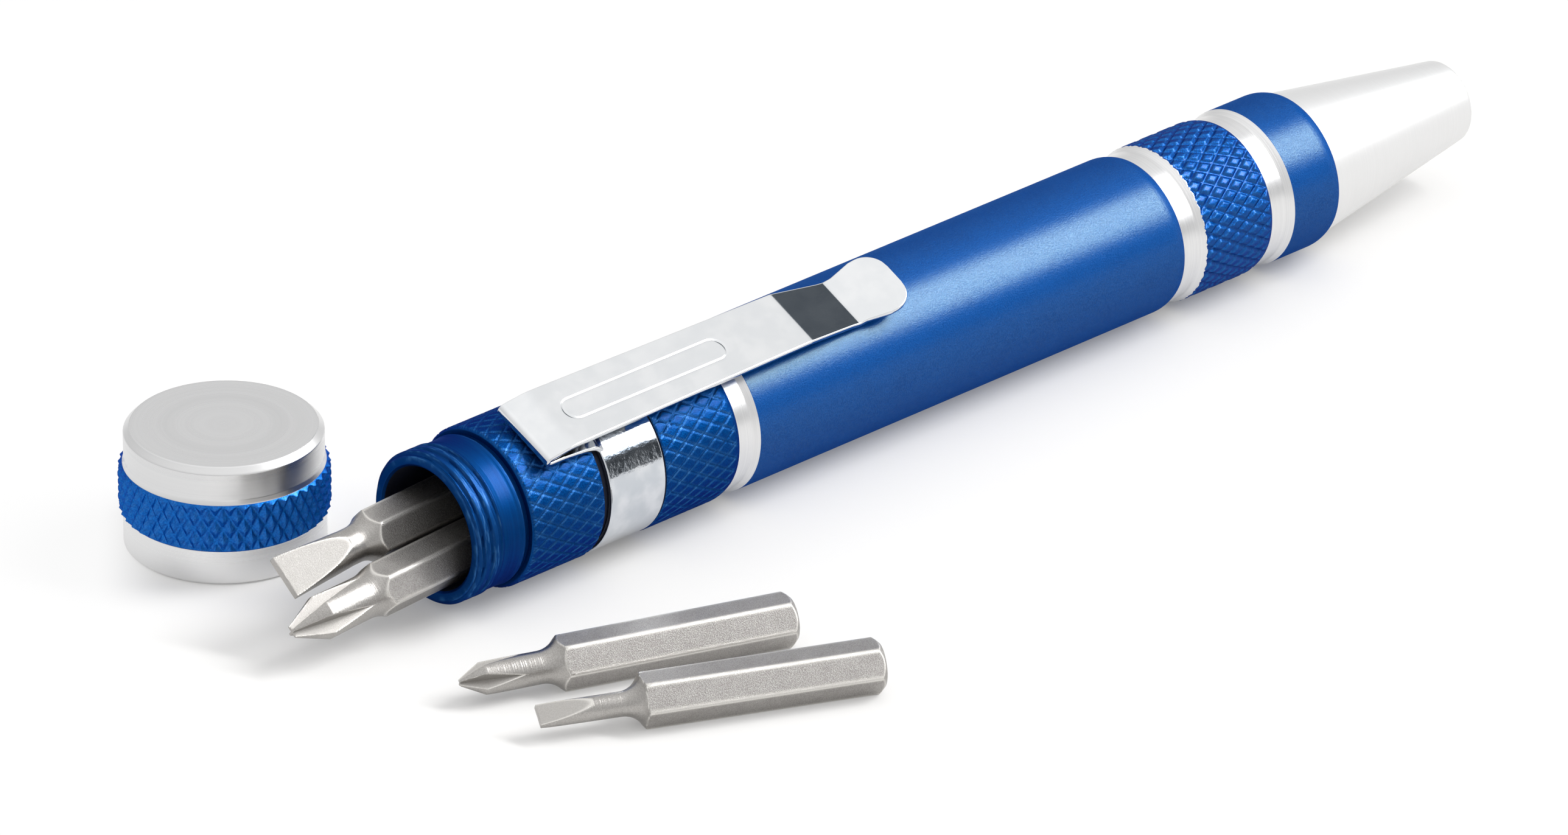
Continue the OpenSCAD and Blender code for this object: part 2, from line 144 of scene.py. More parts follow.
def put(tree, slot, value):
    """Links a Shade to a socket, or sets the socket to a plain value."""
    if isinstance(value, Shade):
        tree.links.new(value.socket, slot)
    elif isinstance(value, tuple) and slot.type == "RGBA" and len(value) == 3:
        slot.default_value = value + (1,)
    else:
        slot.default_value = value


class Finish:
    """A material, or the world, with one method for all its nodes."""

    def __init__(self, name, owner=None):
        self.data = owner or bpy.data.materials.new(name)
        self.data.use_nodes = True
        self.tree = self.data.node_tree
        self.tree.nodes.clear()

    def node(self, kind, settings=None, out=0, **inputs):
        """A node of this kind. An input goes by its name, or by its number as in _0."""
        node = self.tree.nodes.new("ShaderNode" + kind)
        for key, value in (settings or {}).items():
            setattr(node, key, value)
        for key, value in inputs.items():
            slot = node.inputs[int(key[1:])] if key[0] == "_" else node.inputs[key.replace("_", " ")]
            put(self.tree, slot, value)
        return Shade(self.tree, node.outputs[out]) if node.outputs else None

    def place(self):
        """The point on the object, in millimetres, as a vector."""
        spot = self.node("TexCoord", out=3)
        return self.node("VectorMath", {"operation": "SCALE"}, _0=spot, Scale=1 / MM)

    def axes(self, vector):
        split = self.tree.nodes.new("ShaderNodeSeparateXYZ")
        put(self.tree, split.inputs[0], vector)
        return [Shade(self.tree, out) for out in split.outputs]

    def vector(self, x, y, z):
        return self.node("CombineXYZ", _0=x, _1=y, _2=z)

    def carried(self, name):
        """A value that the mesh carries at its points."""
        return self.node("Attribute", {"attribute_name": name}, out=2)

    def noise(self, vector, scale, detail, rough=0.5):
        return self.node("TexNoise", Vector=vector, Scale=scale, Detail=detail, Roughness=rough)

    def blend(self, share, low, high):
        """A colour between two colours."""
        return self.node("Mix", {"data_type": "RGBA"}, out=2, _0=share, _6=low, _7=high)

    def bump(self, height, depth_mm, strength, normal=None):
        extra = {"Normal": normal} if normal else {}
        return self.node("Bump", Strength=strength, Distance=depth_mm * MM, Height=height, **extra)

    def surface(self, **inputs):
        """The finished material, of one shader with these inputs."""
        return self.closed(self.node("BsdfPrincipled", **inputs))

    def closed(self, shader):
        """The finished material, with this shader."""
        self.node("OutputMaterial", Surface=shader)
        return self.data


def ring_lines(fin, spot, pitch, waver=0.004):
    """Fine turning lines round the X axis: noise that changes along X and hardly round the work."""
    x, y, z = fin.axes(spot)
    return fin.noise(fin.vector(x / pitch, y * waver / pitch, z * waver / pitch), 1, 3, 0.6)


BLUE = (0.0008, 0.089, 0.355)
BLUE_DEEP = (0.0004, 0.057, 0.25)
KNURL_BLUE = (0.001, 0.070, 0.26)
KNURL_DEEP = (0.0006, 0.040, 0.18)
BLUE_PALE = (0.10, 0.30, 0.62)
BLUE_EDGE = (0.01, 0.14, 0.42)
SHEEN = (0.68, 0.95, 0.82)
SILVER = (0.80, 0.80, 0.80)
CHROME = (0.80, 0.81, 0.82)
NICKEL = (0.50, 0.485, 0.47)
ANODISED = {"Metallic": 1.0, "Specular_Tint": BLUE_EDGE + (1,)}
COAT_IOR = 2.2


def satin_blue():
    """The long grip and the collar: blasted and anodised, with a fine grain and a pale sheen."""
    fin = Finish("satin blue")
    spot = fin.place()
    grain = fin.noise(spot, 9, 2, 0.6)
    fleck = grain.step(0.34, 0.66)
    cloud = fin.noise(spot, 0.5, 2)
    colour = fin.blend(fleck * 0.5 + cloud * 0.5, BLUE_DEEP, BLUE)
    body = fin.node("BsdfPrincipled", Base_Color=colour, Roughness=0.64 + cloud * 0.06,
                    Normal=fin.bump(grain, 0.055, 0.9), **ANODISED)
    sheen = fin.node("BsdfPrincipled", Base_Color=SHEEN, Metallic=1.0, Roughness=0.24,
                     Specular_Tint=SHEEN + (1,), Normal=fin.bump(grain, 0.012, 0.9))
    return fin.closed(fin.node("MixShader", _0=0.022 + fleck * 0.018, _1=body, _2=sheen))


def knurl_blue(name, wear_glint_share, pale, coat, deep=KNURL_DEEP, light=KNURL_BLUE):
    """A knurled band: the same anodising, paler along the edges of its grooves, partly from wear and partly
    as a painted highlight where the edges catch the light.
    """
    fin = Finish(name)
    spot = fin.place()
    grain = fin.noise(spot, 7, 2)
    worn_edge_glint = fin.carried("edge")
    patchy = fin.noise(spot, 1.4, 2).step(0.25, 0.7)
    # Paler along the groove edges: partly wear, partly a painted highlight.
    wear_and_glint = worn_edge_glint * (0.2 + patchy * 0.8) * wear_glint_share
    tint = fin.blend(grain.step(0.35, 0.65) * 0.6, deep, light)
    bump = fin.bump(grain, 0.05, 0.7)
    return fin.surface(Base_Color=fin.blend(wear_and_glint, tint, pale), Roughness=0.48 - wear_and_glint * 0.12,
                       Coat_Weight=coat, Coat_Roughness=0.22, Coat_IOR=COAT_IOR, Normal=bump, **ANODISED)


def mouth_blue():
    """The threaded mouth: smoother turned anodising, darkened to navy as painted shade, and pale along the
    thread's crests and the lip, partly rubbed and partly a painted highlight.
    """
    fin = Finish("mouth blue")
    spot = fin.place()
    lines = ring_lines(fin, spot, 0.12, 0.01)
    worn_edge_glint = fin.carried("edge")
    x, y, z = fin.axes(spot)
    streaks = fin.noise(fin.vector(x * 7, y * 0.9, z * 0.9), 1, 3).step(0.48, 0.7)
    # Paler along the crests and the lip: partly rubbed, partly a painted highlight.
    wear_and_glint = worn_edge_glint * (0.06 + streaks * 0.6) * 0.6
    # Painted shade: the mouth's navy is darker than the grip's blue.
    tint = fin.blend(lines * 0.8, (0.0015, 0.026, 0.125), KNURL_BLUE)
    bump = fin.bump(lines + fin.noise(spot, 8, 2) * 0.6, 0.02, 0.6)
    return fin.surface(Base_Color=fin.blend(wear_and_glint, tint, BLUE_PALE), Roughness=0.52, Coat_Weight=0.02,
                       Coat_Roughness=0.25, Coat_IOR=COAT_IOR, Normal=bump, **ANODISED)


def turned_silver(name, pitch, depth, roughness, dull):
    """Bare aluminium, cut bright on the lathe, with lines round the X axis."""
    fin = Finish(name)
    spot = fin.place()
    lines = ring_lines(fin, spot, pitch)
    cloud = fin.noise(spot, 0.8, 2)
    return fin.surface(Base_Color=fin.blend(lines.step(0.3, 0.7) * 0.7 + cloud * 0.3, dull, SILVER),
                       Metallic=1.0, Roughness=roughness + lines * 0.06,
                       Normal=fin.bump(lines, depth, 0.6))


def painted_shade_dark():
    """Painted shade: the inside of the storage bore and the floor of the clip's seat, near-black and dull
    where they lie in shadow, with fine turning lines.
    """
    fin = Finish("painted shade dark")
    lines = ring_lines(fin, fin.place(), 0.3, 0.01)
    return fin.surface(Base_Color=fin.blend(lines, (0.003, 0.004, 0.01), (0.012, 0.016, 0.04)),
                       Metallic=0.3, Roughness=0.6, Normal=fin.bump(lines, 0.02, 0.5))


def cap_silver(name, centre, flat):
    """The cap's bright aluminium. On the flat top the lathe's lines run in rings."""
    fin = Finish(name)
    spot = fin.place()
    x, y, z = fin.axes(spot)
    out = ((x - centre[0]) ** 2 + (y - centre[1]) ** 2) ** 0.5
    run = out / 0.16 if flat else z / 0.16
    lines = fin.noise(fin.vector(run, x * 0.03, y * 0.03), 1, 3, 0.6)
    broad = fin.noise(fin.vector(run * 0.12, x * 0.01, y * 0.01), 1, 1)
    # Painted light: the skirt below the knurl is made paler, to lift the shade it takes from the floor.
    skirt_painted_light = (z - FLOOR_Z).step(CAP_SKIRT_H + 0.2, CAP_SKIRT_H)
    share = lines * 0.5 + broad * 0.5 + skirt_painted_light * 0.6
    return fin.surface(Base_Color=fin.blend(share, (0.63, 0.63, 0.635), (0.77, 0.77, 0.77)),
                       Metallic=1.0, Roughness=0.2 + broad * 0.14,
                       Normal=fin.bump(lines + broad * 3, 0.01, 0.5))


def clip_chrome(name, ripple_scale, ripple_mm, dull, bright):
    """The clip's bright rolled sheet, lightly marked by handling."""
    fin = Finish(name)
    spot = fin.place()
    x, y, z = fin.axes(spot)
    rolled = fin.noise(fin.vector(x * 0.25, y * 6, z * 6), 1, 3, 0.6)
    ripple = fin.noise(spot, ripple_scale, 3, 0.6)
    smear = fin.noise(spot, 0.45, 3).step(0.35, 0.7)
    bump = fin.bump(ripple, ripple_mm, 0.5)
    return fin.surface(Base_Color=fin.blend(smear, dull, bright), Metallic=1.0,
                       Roughness=0.07 + rolled * 0.05 + smear * 0.015,
                       Normal=fin.bump(rolled, 0.006, 0.4, bump))


def bit_nickel():
    """The bits' matte plating: grainy flats, fine tool marks round the working end, and corners painted
    pale, partly worn and partly a painted highlight.
    """
    fin = Finish("bit nickel")
    spot = fin.place()
    grain = fin.noise(spot, 11, 3, 0.7)
    cloud = fin.noise(spot, 0.9, 2)
    turned = fin.carried("turned")
    along = fin.carried("along")
    marks = fin.noise(fin.vector(along * 5.5, grain * 0.3, 0.0), 1, 2, 0.6)
    worn_edge_glint = fin.carried("edge")
    milled = fin.carried("milled")
    fleck = grain.step(0.35, 0.65)
    tint = fin.blend(fleck * 0.6 + cloud * 0.4, (0.25, 0.235, 0.22), NICKEL)
    tint = fin.blend(milled * 0.6 + turned * 0.3, tint, (0.47, 0.455, 0.435))
    bump = fin.bump(grain * (1 - turned * 0.8 - milled * 0.7) + marks * turned * 0.6, 0.06, 0.7)
    # The corners are painted pale: partly wear, partly a painted highlight.
    return fin.surface(Base_Color=fin.blend(worn_edge_glint * 0.8, tint, (0.8, 0.78, 0.74)), Metallic=1.0,
                       Roughness=0.36 - turned * 0.08 + grain * 0.06 - worn_edge_glint * 0.1, Normal=bump)


def dark_steel():
    """The socket's sleeve."""
    fin = Finish("sleeve steel")
    grain = fin.noise(fin.place(), 6, 2)
    return fin.surface(Base_Color=fin.blend(grain, (0.16, 0.16, 0.17), (0.32, 0.32, 0.33)),
                       Metallic=1.0, Roughness=0.35, Normal=fin.bump(grain, 0.01, 0.5))


def magnet_plating():
    """The socket's magnet."""
    fin = Finish("magnet plating")
    grain = fin.noise(fin.place(), 4, 2)
    return fin.surface(Base_Color=fin.blend(grain, (0.5, 0.5, 0.52), (0.7, 0.7, 0.72)),
                       Metallic=1.0, Roughness=0.3, Normal=fin.bump(grain, 0.01, 0.4))


# Mesh building
def make_piece(name, points, faces, finishes, face_finish=None, attributes=None, sharp=35):
    """A mesh object from points in millimetres, smooth but for its sharp corners."""
    mesh = bpy.data.meshes.new(name)
    mesh.from_pydata((np.asarray(points) * MM).tolist(), [], faces)
    for finish in finishes:
        mesh.materials.append(finish)
    if face_finish is not None:
        mesh.polygons.foreach_set("material_index", np.asarray(face_finish, np.int32))
    for key, values in (attributes or {}).items():
        layer = mesh.attributes.new(key, "FLOAT", "POINT")
        layer.data.foreach_set("value", np.asarray(values, np.float32))
    mesh.polygons.foreach_set("use_smooth", [True] * len(mesh.polygons))
    mesh.update()
    mesh.set_sharp_from_angle(angle=radians(sharp))
    piece = bpy.data.objects.new(name, mesh)
    bpy.context.scene.collection.objects.link(piece)
    return piece


def tube_faces(rows, count):
    """Quads between rings of count points each."""
    faces = []
    for i in range(rows - 1):
        here, there = i * count, (i + 1) * count
        for j in range(count):
            k = (j + 1) % count
            faces.append((here + j, there + j, there + k, here + k))
    return faces


def flip(faces):
    return [tuple(reversed(face)) for face in faces]


def skin_faces(rows, count):
    """A tube's quads and the two faces that close its ends, all turned over."""
    last = (rows - 1) * count
    ends = [tuple(range(count - 1, -1, -1)), tuple(range(last, last + count))]
    return flip(tube_faces(rows, count) + ends)


def around(count):
    """The angles of one turn, as a row."""
    return (np.arange(count) * 2 * pi / count)[None, :]


def column(rows, i):
    """The same value of each row, as a column."""
    return np.array([row[i] for row in rows])[:, None]


def spun(along, radius, angle):
    """Points round an axis, as (along the axis, across, across)."""
    spots = np.broadcast_arrays(along, radius * np.cos(angle), radius * np.sin(angle))
    return np.stack(spots, -1).reshape(-1, 3)


SMOOTH_BEND = radians(12)


def soften(points, cut, steps=2):
    """Rounds each corner of an open outline of (a, b, tag...) points, keeping the tags."""
    out = [points[0]]
    for before, corner, after in zip(points, points[1:], points[2:]):
        p, u, v = np.array(corner[:2]), np.array(before[:2]), np.array(after[:2])
        du, dv = np.linalg.norm(u - p), np.linalg.norm(v - p)
        bend = acos(np.clip(np.dot(p - u, v - p) / (du * dv), -1, 1))
        if bend < SMOOTH_BEND:
            out.append(corner)
            continue
        reach = min(cut, 0.4 * du, 0.4 * dv)
        start, end = p + (u - p) / du * reach, p + (v - p) / dv * reach
        for i in range(steps + 1):
            t = i / steps
            q = (1 - t) ** 2 * start + 2 * t * (1 - t) * p + t ** 2 * end
            out.append((q[0], q[1]) + (before[2:] if t < 0.5 else corner[2:]))
    out.append(points[-1])
    return out


# The width of the pale line along each groove's edge: partly wear, partly a painted highlight.
KNURL_WEAR_GLINT_WIDTH = 0.04


class Knurl:
    """Two crossing families of helical grooves round a cylinder."""

    def __init__(self, count, period, radius, depth, half, floor_share=0.0):
        self.count = count
        self.period = period
        self.radius = radius
        self.depth = depth
        self.half = half
        self.floor_share = floor_share

    def groove(self, along, angle):
        """The groove's depth at places, and how near each is to a groove's upper edge."""
        depth = np.zeros(np.broadcast(along, angle).shape)
        edge = np.zeros_like(depth)
        for way in (1, -1):
            phase = angle * self.count / (2 * pi) + way * along / self.period
            gap = np.abs(phase - np.round(phase))
            inside = np.clip((1 - gap / self.half) / (1 - self.floor_share), 0, 1)
            depth = np.maximum(depth, self.depth * inside)
            edge = np.maximum(edge, np.exp(-((gap - self.half) / KNURL_WEAR_GLINT_WIDTH) ** 2))
        return depth, edge


# The barrel
MOUTH_RIM_L = 0.1
THREAD_L = 2.7
THREAD_PITCH = 0.9
THREAD_DEPTH = 0.3
THREAD_FLANK = 5.5
THREAD_END = MOUTH_RIM_L + THREAD_L
SHOULDER_AT = 5.4
SEAT_AT = 13.0
CLIP_KNURL_AT = 19.6
MOUTH_RING_AT = 27.6
GRIP_AT = 29.7
FIRST_RING_AT = 77
NOSE_KNURL_AT = 79.4
LAST_RING_AT = 87
COLLAR_AT = 89.4
BORE_R = 5.2
BORE_DEPTH = 30
THREAD_R = BARREL_R - 0.38
ROOT_R = THREAD_R - THREAD_DEPTH
NECK_R = THREAD_R - 0.13
RING_R = BARREL_R - 0.3
SEAT_R = RING_R - 0.25
RING_FLAT_SHARE = 0.72
BAND_ROUND_L = 1.0
BAND_DROP = 0.225
SPIGOT_BORE_R = 4.32
SPIGOT_BORE_L = 13
KNURL_COUNT = 34
KNURL_PERIOD = 2.0
SAMPLES = 14
KNURL_STEP = KNURL_PERIOD / SAMPLES
THREAD_STEP = 0.07
PLAIN_STEP = 60
THREAD_RUN_OUT = 0.3
DEEP_RUN_OUT = 0.7
GROOVE_START_L = 0.35
GROOVE_START_SHARE = 0.2
KNURL_BANDS = ((SHOULDER_AT, SEAT_AT), (CLIP_KNURL_AT, MOUTH_RING_AT), (NOSE_KNURL_AT, LAST_RING_AT))
# PAINTED_SHADE is the near-black painted shade of the storage bore, the clip's seat and the bore for the
# nose.
SATIN, FINE_KNURL, DEEP_KNURL, MOUTH, BRIGHT, PAINTED_SHADE = range(6)


def brace(points, gap=0.05):
    """Adds a point near both ends of each long stretch, so that the shading stays flat between them."""
    out = []
    for a, b in zip(points, points[1:]):
        out.append(a)
        length = hypot(b[0] - a[0], b[1] - a[1])
        if length > 3 * gap:
            for t in (gap / length, 1 - gap / length):
                out.append((a[0] + (b[0] - a[0]) * t, a[1] + (b[1] - a[1]) * t) + a[2:])
    out.append(points[-1])
    return out


def fill(points, step):
    """Adds points along an outline, so that none of its stretches is longer than step."""
    out = []
    for a, b in zip(points, points[1:]):
        count = max(1, int(np.ceil(hypot(b[0] - a[0], b[1] - a[1]) / step)))
        for i in range(count):
            t = i / count
            out.append((a[0] + (b[0] - a[0]) * t, a[1] + (b[1] - a[1]) * t) + a[2:])
    out.append(points[-1])
    return out


def rounded_end(at, finish):
    """The last stretch of a band before a ring, falling away in a soft curve: (radius, station, finish)."""
    steps = [0, 0.3, 0.5, 0.68, 0.84, 0.94]
    bend = [(BARREL_R - BAND_DROP * t * t, at - BAND_ROUND_L * (1 - t), finish) for t in steps]
    return bend + [(BARREL_R - BAND_DROP, at, BRIGHT if at < COLLAR_END else finish)]


def barrel_outline():
    """(station, radius, finish) along the barrel's skin, from the bore's bottom out and back in."""
    # The storage bore, the clip's seat and the bore for the nose take the near-black painted shade.
    bands = [
        (0.01, BORE_DEPTH + BORE_R * 0.6, PAINTED_SHADE), (BORE_R, BORE_DEPTH, PAINTED_SHADE), (BORE_R, 0.9, PAINTED_SHADE),
        (BORE_R, 0.2, MOUTH), (BORE_R + 0.2, 0, MOUTH), (ROOT_R - 0.1, 0, MOUTH), (ROOT_R, 0.1, MOUTH),
        (ROOT_R + 0.12, THREAD_END, MOUTH), (NECK_R, THREAD_END + 0.35, MOUTH),
        (NECK_R, SHOULDER_AT - 0.95, MOUTH),
        (NECK_R + 0.05, SHOULDER_AT - 0.75, MOUTH), (NECK_R + 0.07, SHOULDER_AT - 0.5, MOUTH),
        (ROOT_R, SHOULDER_AT - 0.4, MOUTH), (ROOT_R, SHOULDER_AT, MOUTH),
        (BARREL_R - 0.2, SHOULDER_AT, FINE_KNURL), (BARREL_R, SHOULDER_AT + 0.25, FINE_KNURL),
        (BARREL_R, SEAT_AT - 0.1, FINE_KNURL),
        (BARREL_R - 0.1, SEAT_AT, PAINTED_SHADE), (SEAT_R, SEAT_AT, PAINTED_SHADE), (SEAT_R, CLIP_KNURL_AT, PAINTED_SHADE),
        (BARREL_R - 0.1, CLIP_KNURL_AT, FINE_KNURL), (BARREL_R, CLIP_KNURL_AT + 0.1, FINE_KNURL),
        *rounded_end(MOUTH_RING_AT, FINE_KNURL), (RING_R, MOUTH_RING_AT, BRIGHT),
        (RING_R, MOUTH_RING_AT + (GRIP_AT - MOUTH_RING_AT) * RING_FLAT_SHARE, BRIGHT),
        (BARREL_R, GRIP_AT, SATIN), *rounded_end(FIRST_RING_AT, SATIN), (RING_R, FIRST_RING_AT, BRIGHT),
        (RING_R, FIRST_RING_AT + (NOSE_KNURL_AT - FIRST_RING_AT) * RING_FLAT_SHARE, BRIGHT),
        (BARREL_R, NOSE_KNURL_AT, DEEP_KNURL), *rounded_end(LAST_RING_AT, DEEP_KNURL),
        (RING_R, LAST_RING_AT, BRIGHT),
        (RING_R, LAST_RING_AT + (COLLAR_AT - LAST_RING_AT) * RING_FLAT_SHARE, BRIGHT),
        (BARREL_R, COLLAR_AT, SATIN), *rounded_end(COLLAR_END, SATIN), (SPIGOT_BORE_R, COLLAR_END, PAINTED_SHADE),
        (SPIGOT_BORE_R, COLLAR_END - SPIGOT_BORE_L, PAINTED_SHADE), (0.01, COLLAR_END - SPIGOT_BORE_L, PAINTED_SHADE),
    ]
    return [(station, radius, finish) for radius, station, finish in bands]


def barrel_rows():
    """The outline with rows close enough to carry the knurls and the thread."""
    outline = brace(soften(barrel_outline(), 0.05))
    rows = []
    for here, there in zip(outline, outline[1:]):
        middle = (here[0] + there[0]) / 2
        outside = min(here[1], there[1]) > BORE_R + 0.3
        knurled = outside and any(low - DEEP_RUN_OUT < middle < high for low, high in KNURL_BANDS)
        threaded = outside and middle < THREAD_END + THREAD_RUN_OUT
        step = KNURL_STEP if knurled else THREAD_STEP if threaded else PLAIN_STEP
        rows += fill([here, there], step)[:-1]
    rows.append(outline[-1])
    return rows


def thread_height(station, angle):
    """The helical thread's height as a share: three turns that run out at both ends."""
    turn = (station - MOUTH_RIM_L) / THREAD_PITCH - angle / (2 * pi)
    phase = turn - np.floor(turn)
    crest = np.clip((0.5 - np.abs(phase - 0.5)) * THREAD_FLANK - 0.5, 0, 1)
    start = np.clip(station / THREAD_RUN_OUT, 0, 1)
    finish = np.clip((THREAD_END - station) / THREAD_RUN_OUT, 0, 1)
    return crest * start * finish


def barrel_skin(station, radius, finish, angle):
    """The radius with the knurls and the thread cut in, its edges that are painted pale for wear and as a
    highlight, and where a knurl cuts.
    """
    fine = Knurl(KNURL_COUNT, KNURL_PERIOD, BARREL_R, depth=0.11, half=0.11)
    deep = Knurl(KNURL_COUNT, KNURL_PERIOD, BARREL_R, depth=0.22, half=0.24, floor_share=0.1)
    grown = np.broadcast_to(radius, (len(station), angle.shape[1])).copy()
    edge = np.zeros_like(grown)
    cut_blue = np.zeros_like(grown, bool)
    for knurl, (low, high), run in zip((fine, fine, deep), KNURL_BANDS, (0, 0, DEEP_RUN_OUT)):
        depth, near = knurl.groove(station, angle)
        start = np.clip(GROOVE_START_SHARE + (station - low) / GROOVE_START_L, GROOVE_START_SHARE, 1)
        limit = knurl.radius - depth * start
        zone = (station >= low - run) & (station <= high) & (radius > RING_R - 0.01)
        cut_blue |= zone & (limit < grown)
        edge = np.where(zone & (radius > knurl.radius - 0.1), near, edge)
        grown = np.where(zone, np.minimum(grown, limit), grown)
    crest = thread_height(station, angle)
    threaded = (station > 0.15) & (station < THREAD_END + THREAD_RUN_OUT) & (radius > BORE_R + 0.5)
    thread_r = np.minimum(np.maximum(grown, ROOT_R + THREAD_DEPTH * crest), THREAD_R)
    grown = np.where(threaded, thread_r, grown)
    # The thread's crests are painted pale: partly rubbed, partly a painted highlight.
    edge = np.where(threaded, np.exp(-((crest - 0.9) / 0.25) ** 2), edge)
    # Painted highlight: pale rings along the rim's edge and the ridge at the neck's end.
    lip = (finish == MOUTH) & ~threaded & (station < SHOULDER_AT) & (radius > BORE_R + 0.3)
    bright = np.exp(-((station - 0.05) / 0.1) ** 2) + np.exp(-((station - SHOULDER_AT + 0.5) / 0.12) ** 2)
    return grown, np.where(lip, np.maximum(edge, bright), edge), cut_blue


def build_barrel():
    """The barrel's skin, from the storage bore's bottom out and along to the bore for the nose."""
    rows = barrel_rows()
    station, radius, finish = (column(rows, i) for i in range(3))
    angle = around(KNURL_COUNT * SAMPLES)
    grown, edge, cut_blue = barrel_skin(station, radius, finish, angle)
    paint = np.broadcast_to(finish[:-1], (len(rows) - 1, angle.shape[1])).copy()
    paint[cut_blue[:-1] & cut_blue[1:] & (paint == BRIGHT)] = DEEP_KNURL
    # The two end faces take the painted shade too.
    paint = list(paint.reshape(-1)) + [PAINTED_SHADE, PAINTED_SHADE]
    finishes = [satin_blue(), knurl_blue("fine knurl blue", 0.4, BLUE_PALE, 0.02),
                knurl_blue("deep knurl blue", 0.5, (0.03, 0.17, 0.42), 0.09, BLUE_DEEP, BLUE), mouth_blue(),
                turned_silver("ring silver", 0.1, 0.03, 0.26, (0.70, 0.70, 0.705)), painted_shade_dark()]
    points = spun(station + MOUTH_X, grown, angle)
    piece = make_piece("barrel_shell", points, skin_faces(*grown.shape), finishes, paint,
                       {"edge": edge.reshape(-1)}, sharp=50)
    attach(piece, "barrel")
    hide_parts("barrel")


# The nose
NOSE_BASE_R = 6.35
NOSE_TIP_R = 3.6
NOSE_ROUND = 0.4
SPIGOT_R = 4.28
SPIGOT_L = 12.9
SLEEVE_R = 2.9
NOSE_SIDES = 256


def build_nose():
    """The turned cone and its spigot, one skin from the spigot's end out and into the sleeve's bore."""
    arc = [(OVERALL_L - NOSE_ROUND * (1 - sin(radians(a))), NOSE_TIP_R - NOSE_ROUND * (1 - cos(radians(a))))
           for a in range(0, 91, 15)]
    sleeve_at = mm_box("hex_sleeve")[0][0] - MOUTH_X
    spigot_at = COLLAR_END - SPIGOT_L
    outline = [(spigot_at, 0.01), (spigot_at, SPIGOT_R), (COLLAR_END, SPIGOT_R),
               (COLLAR_END, NOSE_BASE_R - 0.08), (COLLAR_END + 0.08, NOSE_BASE_R), *arc,
               (OVERALL_L, SLEEVE_R + 0.1), (OVERALL_L - 0.1, SLEEVE_R), (sleeve_at, SLEEVE_R),
               (sleeve_at, 0.01)]
    rows = fill(brace(outline), 1.5)
    points = spun(column(rows, 0) + MOUTH_X, column(rows, 1), around(NOSE_SIDES))
    finish = turned_silver("nose silver", 0.22, 0.003, 0.4, (0.77, 0.77, 0.77))
    piece = make_piece("nose_shell", points, skin_faces(len(rows), NOSE_SIDES), [finish])
    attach(piece, "barrel")
    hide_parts("nose_cone")


# The cap
CAP_KNURL_COUNT = 45
CAP_SAMPLES = 12
CAP_SKIRT_R = CAP_R - 0.38
CAP_SKIRT_H = 3
CAP_KNURL_TOP = 7.05
CAP_LEDGE_TOP = 7.5
CAP_CROWN_R = CAP_SKIRT_R - 0.1
CAP_BEVEL = 0.5
CAP_BORE_R = 6.47
CAP_DEPTH = 8.45
CAP_SIDE, CAP_TOP, CAP_BLUE = range(3)


